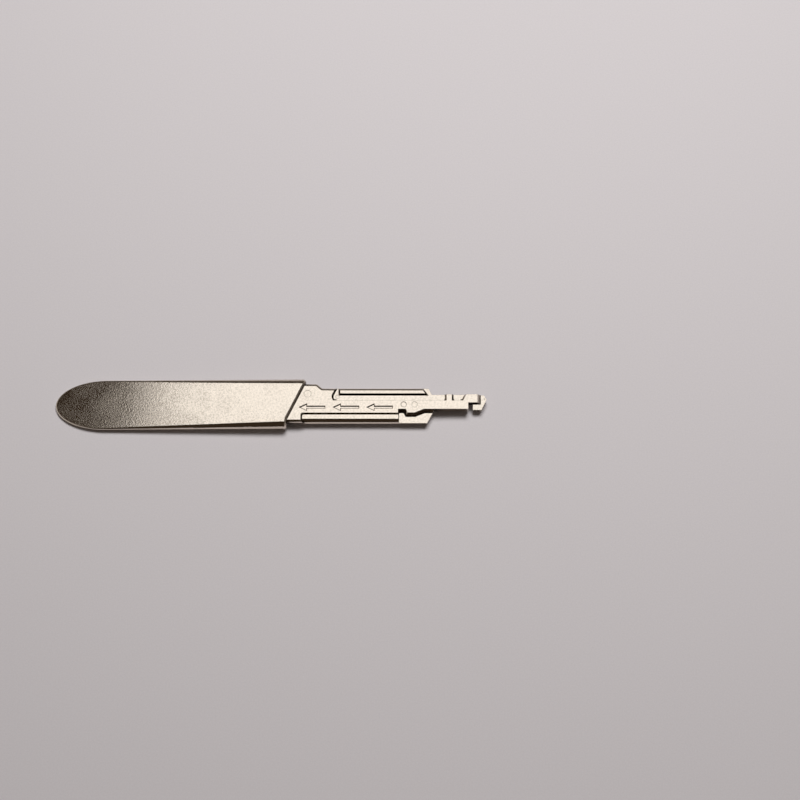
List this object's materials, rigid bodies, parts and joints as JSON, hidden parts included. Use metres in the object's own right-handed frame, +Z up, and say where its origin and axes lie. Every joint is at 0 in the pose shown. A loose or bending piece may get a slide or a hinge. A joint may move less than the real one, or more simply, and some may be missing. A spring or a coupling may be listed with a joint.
{
  "type": "scalpel handle",
  "caption": "One-piece metal scalpel handle: a flat-backed wedge body with a rounded tail and a thinner stepped front plate whose rail, channel and neck guide and carry a shielded blade.",
  "frame": {"origin": "bottom centre of the bounding box, on the surface the handle's flat back lies on", "axes": "+X from the rounded tail to the blade end, +Y towards the edge with the guide rail, +Z up out of the worked face"},
  "size_m": [0.13, 0.0154, 0.0045],
  "materials": {
    "handle_steel": "cast stainless steel, polished, with a fine orange-peel grain and a warm tint"
  },
  "bodies": {
    "root": {"scalpel_handle": "handle_steel"}
  },
  "joints": []
}
